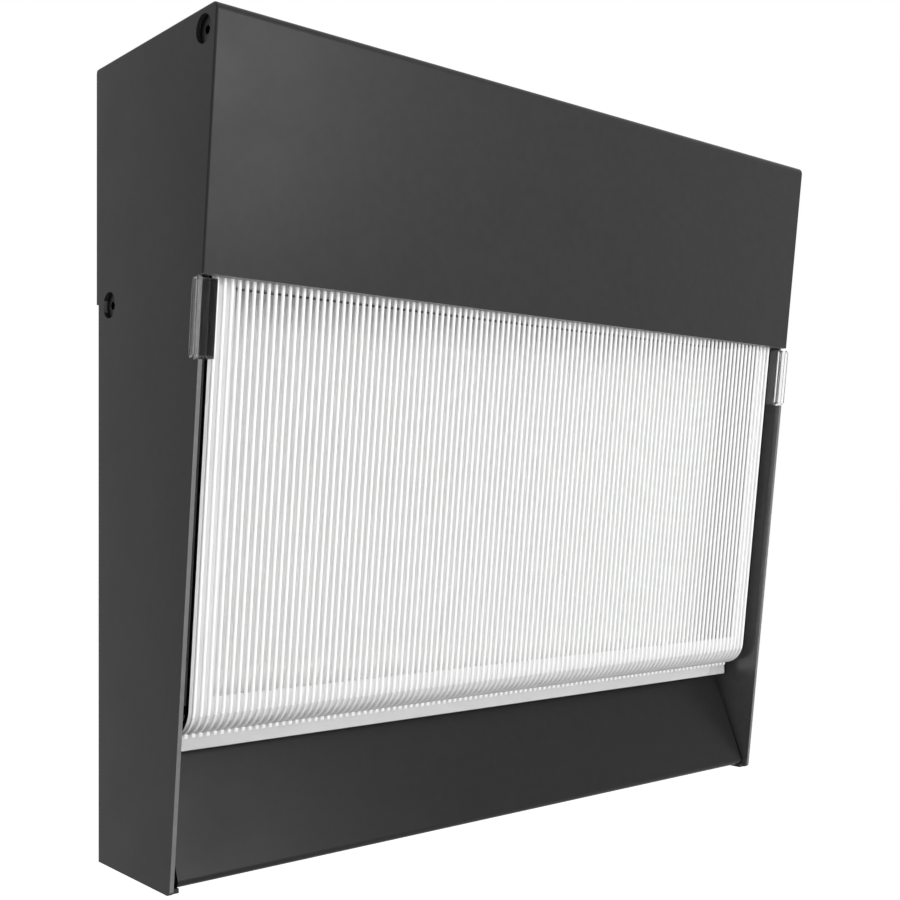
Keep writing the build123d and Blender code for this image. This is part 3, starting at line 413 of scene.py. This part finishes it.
def behind_front(z, depth):
    """Y at height z of the plane that lies `depth` behind the cover's leaning front."""
    return FRONT_FOOT_Y - (z - FOOT_Z) * tan(LEAN) + depth / cos(LEAN)


BEND_Z = FLOOR_Z + BEND
BEND_Y = behind_front(BEND_Z, RIB_BASE + BEND)
print("lens top at", round(LENS_TOP_Z, 2), "mm, bend centre at", round(BEND_Y, 2), round(BEND_Z, 2))

# %% [markdown]
# A column of the grid is a place across the lens and the height of the rib there. Each rib is an arc of
# a circle, worked out from its width and height, and the land between two ribs needs no columns.


# %% Across the ribs
def rib_columns(steps=6):
    """(x, height, on a rib) across the lens: a round crest on each rib and flat land between them."""
    half = RIB_WIDTH / 2
    radius = (half**2 + RIB_HEIGHT**2) / (2 * RIB_HEIGHT)
    spread = asin(half / radius)
    columns = [(-LENS_HALF, 0.0, False)]
    for rib in range(RIBS):
        middle = (rib - (RIBS - 1) / 2) * RIB_PITCH
        for step in range(steps + 1):
            angle = spread * (2 * step / steps - 1)
            height = max(0.0, radius * cos(angle) - radius + RIB_HEIGHT)
            columns.append((middle + radius * sin(angle), height, step < steps))
    return columns + [(LENS_HALF, 0.0, False)]


columns = rib_columns()
print("columns across the ribs:", len(columns))

# %% [markdown]
# A row of the grid is a point of the side view, the direction in which the ribs stand out there, and the
# finish of the strip that follows it. The ribs run down the plate and round the bend, where they take
# the frosted white with its painted light, and each ends in a small bead on the drip lip's front face.
# The beads are white, a painted highlight, and draw the scalloped line along the lens's foot.

# %% Round the section
CLEAR, FROST_AND_LIGHT, EAR_SHADE, RIB_HIGHLIGHT, EAR, CAP, LIP = range(7)
LENS_FINISHES = (ACRYLIC, FROSTED_AND_PAINTED_LIGHT, EAR_PAINTED_SHADE, RIB_PAINTED_HIGHLIGHT, EAR_ACRYLIC, BLACK_PAINTED_SHADE, LIP_PAINTED_LIGHT)
BEND_STEPS, INNER_STEPS = 12, 8
HIGHLIGHT_ROWS, BEAD_ROW = 2, BEND_STEPS + 2


def around_bend(radius, steps, finish_index, outward):
    """Rows of one side of the lower bend, from its top to its foot."""
    rows = []
    for step in range(steps + 1):
        angle = LEAN + (pi / 2 - LEAN) * step / steps
        ahead = (-cos(angle), -sin(angle))
        point = (BEND_Y + radius * ahead[0], BEND_Z + radius * ahead[1])
        rows.append((point, ahead if outward else (0.0, 0.0), finish_index))
    return rows


def lens_rows():
    """Rows of the lens's closed section: (point, rib direction, finish of the next strip)."""
    flat = (0.0, 0.0)
    lip_foot = FLOOR_Z - LIP_DROP
    lip_back, rear = BEND_Y + LIP_THICK, BEND_Y + FLOOR_REACH
    top = (behind_front(LENS_TOP_Z, RIB_BASE), LENS_TOP_Z)
    rows = [(top, (-cos(LEAN), -sin(LEAN)), CLEAR)]
    rows += around_bend(BEND, BEND_STEPS, CLEAR, True)
    rows += [
        ((BEND_Y, FLOOR_Z - BEAD_MIDDLE * BEAD_DROP), (-BEAD_REACH, 0.0), CLEAR),
        ((BEND_Y, FLOOR_Z - BEAD_DROP), flat, CLEAR),
        ((BEND_Y, lip_foot + LIP_ROUND), flat, CLEAR),
        ((BEND_Y + LIP_CORNER * LIP_ROUND, lip_foot + LIP_CORNER * LIP_ROUND), flat, CLEAR),
        ((BEND_Y + LIP_ROUND, lip_foot), flat, FROST_AND_LIGHT),
        ((lip_back, lip_foot), flat, LIP),
        ((lip_back, FLOOR_Z), flat, FROST_AND_LIGHT),
        ((rear, FLOOR_Z), flat, FROST_AND_LIGHT),
        ((rear, FLOOR_Z + PLATE), flat, FROST_AND_LIGHT),
    ]
    rows += reversed(around_bend(BEND - PLATE, INNER_STEPS, FROST_AND_LIGHT, False))
    for z in (BEND_Z + FROST_RISE, LENS_TOP_Z):
        rows.append(((behind_front(z, RIB_BASE + PLATE), z), flat, CLEAR))
    return rows


rows = lens_rows()
print("rows round the section:", len(rows))

# %% [markdown]
# The grid joins each column to the next along every row, and a flat cap closes each end. The ears are
# made beside it, as a section that is carried upwards and then rounded. The corners are kept crisp by
# marking the edges where faces meet steeply.


# %% Build the lens
def lens_grid(bm):
    """The lens as a closed grid of columns and rows, with a flat cap at each end."""
    grid = []
    for x, height, _ in columns:
        ring = []
        for (y, z), (out_y, out_z), _ in rows:
            ring.append(bm.verts.new((x * MM, (y + out_y * height) * MM, (z + out_z * height) * MM)))
        grid.append(ring)
    plate_back = len(rows) - 2
    for (left, right), (x, _, on_rib) in zip(zip(grid, grid[1:]), columns):
        for row, (_, _, finish_index) in enumerate(rows):
            after = (row + 1) % len(rows)
            face = bm.faces.new((left[row], left[after], right[after], right[row]))
            face.material_index = finish_index
            # Rib faces take the white painted highlight on the plate, the top of the bend and the beads,
            # and the frosted white with painted light round the rest of the bend.
            if on_rib and row <= BEAD_ROW:
                face.material_index = FROST_AND_LIGHT if HIGHLIGHT_ROWS < row <= BEND_STEPS else RIB_HIGHLIGHT
            # Near the ears the plate's back also takes the frosted white with painted light.
            elif row == plate_back and abs(x) > LENS_HALF - PAINTED_LIGHT_END:
                face.material_index = FROST_AND_LIGHT
    # The end caps take the black painted shade.
    for cap in (grid[0], list(reversed(grid[-1]))):
        bm.faces.new(cap).material_index = CAP


def ear(bm, side):
    """One ear: a tab through the side panel's notch, on a web against the end of the lens."""
    inner, web = LENS_HALF + EAR_GAP, LENS_HALF + EAR_WEB
    deep = RIB_BASE + PLATE
    tab = [(inner, 0.0), (EAR_OUT, 0.0), (EAR_OUT, EAR_THICK)]
    section = tab + [(web, EAR_THICK), (web, deep), (inner, deep)]
    # The tab's back and the web's faces take the ears' painted shade.
    finishes = [EAR, EAR, EAR, EAR_SHADE, EAR_SHADE, EAR_SHADE]
    ends = []
    for z in (EAR_FOOT_Z, EAR_TOP_Z):
        ring = []
        for x, depth in section:
            ring.append(bm.verts.new((side * x * MM, behind_front(z, depth) * MM, z * MM)))
        ends.append(ring)
    foot, top = ends
    faces = [bm.faces.new(foot), bm.faces.new(list(reversed(top)))]
    for face in faces:
        face.material_index = EAR
    for index, finish_index in enumerate(finishes):
        after = (index + 1) % len(section)
        face = bm.faces.new((foot[after], foot[index], top[index], top[after]))
        face.material_index = finish_index
        faces.append(face)
    edges = {edge for face in faces for edge in face.edges}
    edges = {edge for edge in edges if min(abs(v.co.x) for v in edge.verts) > web * MM}
    edges |= set(faces[2].edges)
    bmesh.ops.bevel(
        bm, geom=list(edges), offset=EAR_ROUND * MM, segments=3, affect="EDGES", clamp_overlap=True
    )


def smooth_with_corners(bm, corner_degrees=32):
    """Smooth shading that stays crisp where two faces meet at a real corner."""
    bmesh.ops.recalc_face_normals(bm, faces=bm.faces)
    for face in bm.faces:
        face.smooth = True
    for edge in bm.edges:
        edge.smooth = edge.calc_face_angle(0.0) < radians(corner_degrees)


def piece_of_cover(bm, name, materials):
    """Turns the built faces into a piece that swings with the cover."""
    mesh = bpy.data.meshes.new(name)
    bm.to_mesh(mesh)
    bm.free()
    for material in materials:
        mesh.materials.append(material)
    piece = bpy.data.objects.new(name, mesh)
    scene.collection.objects.link(piece)
    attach(piece, "cover")
    return piece


bm = bmesh.new()
lens_grid(bm)
for side in (-1, 1):
    ear(bm, side)
smooth_with_corners(bm)
ribbed_lens = piece_of_cover(bm, "ribbed_lens", LENS_FINISHES)
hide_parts("lens")
print("lens faces:", len(ribbed_lens.data.polygons))

# %% [markdown]
# ## Seals at the sill's ends
#
# The sill stops short of the side panels, and a fine black line shows there. A black strip fills each
# gap a little behind the sill's front: painted shade, for the shade in that narrow gap. Its section,
# flat with a rounded front, is carried straight from the sill's upper edge to its foot, so two rings of
# points are enough.

# %% Painted shade strips at the sill's ends
SILL_TOP, SILL_FOOT = Vector((-39.93, -100.48)), Vector((-59.85, -147.91))
SHADE_IN, SHADE_OUT = 162.32, 164.88
SHADE_FRONT, SHADE_ROUND, SHADE_BACK, SHADE_CORNER = 0.5, 0.9, 2.4, 50


def shade_strip_section(steps=6):
    """(x, depth behind the sill's front) round the strip's section, the rounded front first."""
    middle, half = (SHADE_IN + SHADE_OUT) / 2, (SHADE_OUT - SHADE_IN) / 2
    points = []
    for step in range(steps + 1):
        angle = pi * step / steps
        points.append((middle - half * cos(angle), SHADE_FRONT + SHADE_ROUND * (1 - sin(angle))))
    return points + [(SHADE_OUT, SHADE_BACK), (SHADE_IN, SHADE_BACK)]


def shade_strip(bm, side):
    """One strip of painted shade, between the sill's end and the side panel on one side."""
    along = (SILL_FOOT - SILL_TOP).normalized()
    behind = Vector((-along.y, along.x))
    rings = []
    for place in (SILL_TOP, SILL_FOOT):
        ring = []
        for x, depth in shade_strip_section():
            y, z = place + behind * depth
            ring.append(bm.verts.new((side * x * MM, y * MM, z * MM)))
        rings.append(ring)
    upper, lower = rings
    bm.faces.new(upper)
    bm.faces.new(list(reversed(lower)))
    for index in range(len(upper)):
        after = (index + 1) % len(upper)
        bm.faces.new((upper[after], upper[index], lower[index], lower[after]))


bm = bmesh.new()
for side in (-1, 1):
    shade_strip(bm, side)
smooth_with_corners(bm, SHADE_CORNER)
sill_end_shade_strips = piece_of_cover(bm, "sill_end_shade_strips", [BLACK_PAINTED_SHADE])
print("seal faces:", len(sill_end_shade_strips.data.polygons))

# %% [markdown]
# ## Studio
#
# The photograph has a white background all round. The world could simply be made bright, but it would
# then light the object too strongly. So it is white only where it is seen, by the camera, in a
# reflection or through the lens, and gives the object a plain, lower level of light.

# %% World
PLAIN_LIGHT = 0.34
WHITE = (1.0, 1.0, 1.0, 1.0)


def combine(tree, operation, first, second):
    """A math node fed by a socket and by a second socket or number. Returns its value socket."""
    node = tree.nodes.new("ShaderNodeMath")
    node.operation = operation
    tree.links.new(first, node.inputs[0])
    if isinstance(second, float):
        node.inputs[1].default_value = second
    else:
        tree.links.new(second, node.inputs[1])
    return node.outputs["Value"]


def where_seen(tree):
    """1 for rays that show a surface: from the camera, in a reflection or through clear plastic.

    Light that has bounced off a matt surface isn't counted, or the white would light the inside.
    """
    path = tree.nodes.new("ShaderNodeLightPath")
    seen = combine(tree, "MAXIMUM", path.outputs["Is Camera Ray"], path.outputs["Is Glossy Ray"])
    seen = combine(tree, "MAXIMUM", seen, path.outputs["Is Transmission Ray"])
    direct = combine(tree, "LESS_THAN", path.outputs["Diffuse Depth"], 0.5)
    return combine(tree, "MULTIPLY", seen, direct)


def white_behind(tree, lit_strength):
    """World colour: white where it is seen, and plain light elsewhere."""
    lit = tree.nodes["Background"]
    lit.inputs["Color"].default_value = WHITE
    lit.inputs["Strength"].default_value = lit_strength
    white = tree.nodes.new("ShaderNodeBackground")
    white.inputs["Color"].default_value = WHITE
    either = tree.nodes.new("ShaderNodeMixShader")
    tree.links.new(where_seen(tree), either.inputs["Fac"])
    tree.links.new(lit.outputs["Background"], either.inputs[1])
    tree.links.new(white.outputs["Background"], either.inputs[2])
    tree.links.new(either.outputs["Shader"], tree.nodes["World Output"].inputs["Surface"])


world = bpy.data.worlds.new("studio")
world.use_nodes = True
scene.world = world
white_behind(world.node_tree, PLAIN_LIGHT)
print("world made")

# %% [markdown]
# ## Lamps
#
# Three soft rectangular lamps. The key stands low in front, so that its light gets under the hood and
# evenly onto the reflector. The sheen lamp stands higher at the right, where the hood's left end
# mirrors it and shows its brighter end. The top lamp lights the top panel and the floor.


# %% Lamps
def softbox(name, place, aim, width, height, power):
    """Large rectangular lamp at a place, aimed at another, in metres and watts."""
    data = bpy.data.lights.new(name, "AREA")
    data.shape = "RECTANGLE"
    data.size, data.size_y, data.energy = width, height, power
    lamp = bpy.data.objects.new(name, data)
    lamp.location = place
    lamp.rotation_euler = (Vector(aim) - Vector(place)).to_track_quat("-Z", "Y").to_euler()
    lamp.visible_camera = False
    scene.collection.objects.link(lamp)


softbox("key_softbox", (-0.1, -1.0, -0.14), (0, 0, 0.1), 0.9, 0.3, 2.1)
softbox("sheen_softbox", (0.43, -1.4, 0.34), (-0.1, 0, 0.1), 0.4, 0.45, 11)
softbox("top_softbox", (0.1, -0.4, 1.7), (0, 0, 0), 0.6, 0.8, 2)
print("lamps placed")

# %% [markdown]
# ## Floor
#
# The floor lies well below the light. It is plain pale grey under the lamps, and where it is seen a
# little white is added, enough to lift it to the white of the background but not to hide a shadow.

# %% Floor
FLOOR_SIZE, FLOOR_DROP, FLOOR_LIFT = 40.0, 0.32, 0.64
bpy.ops.mesh.primitive_plane_add(size=FLOOR_SIZE, location=(0.0, 0.0, -FLOOR_DROP))
floor = bpy.context.object
floor.name = "floor"
floor_material, floor_tree, floor_shader = finish(
    "pale_floor", (0.86, 0.86, 0.86), 0.8, Emission_Color=WHITE
)
lift = combine(floor_tree, "MULTIPLY", where_seen(floor_tree), FLOOR_LIFT)
floor_tree.links.new(lift, floor_shader.inputs["Emission Strength"])
floor.data.materials.append(floor_material)
print("floor at", floor.location.z)
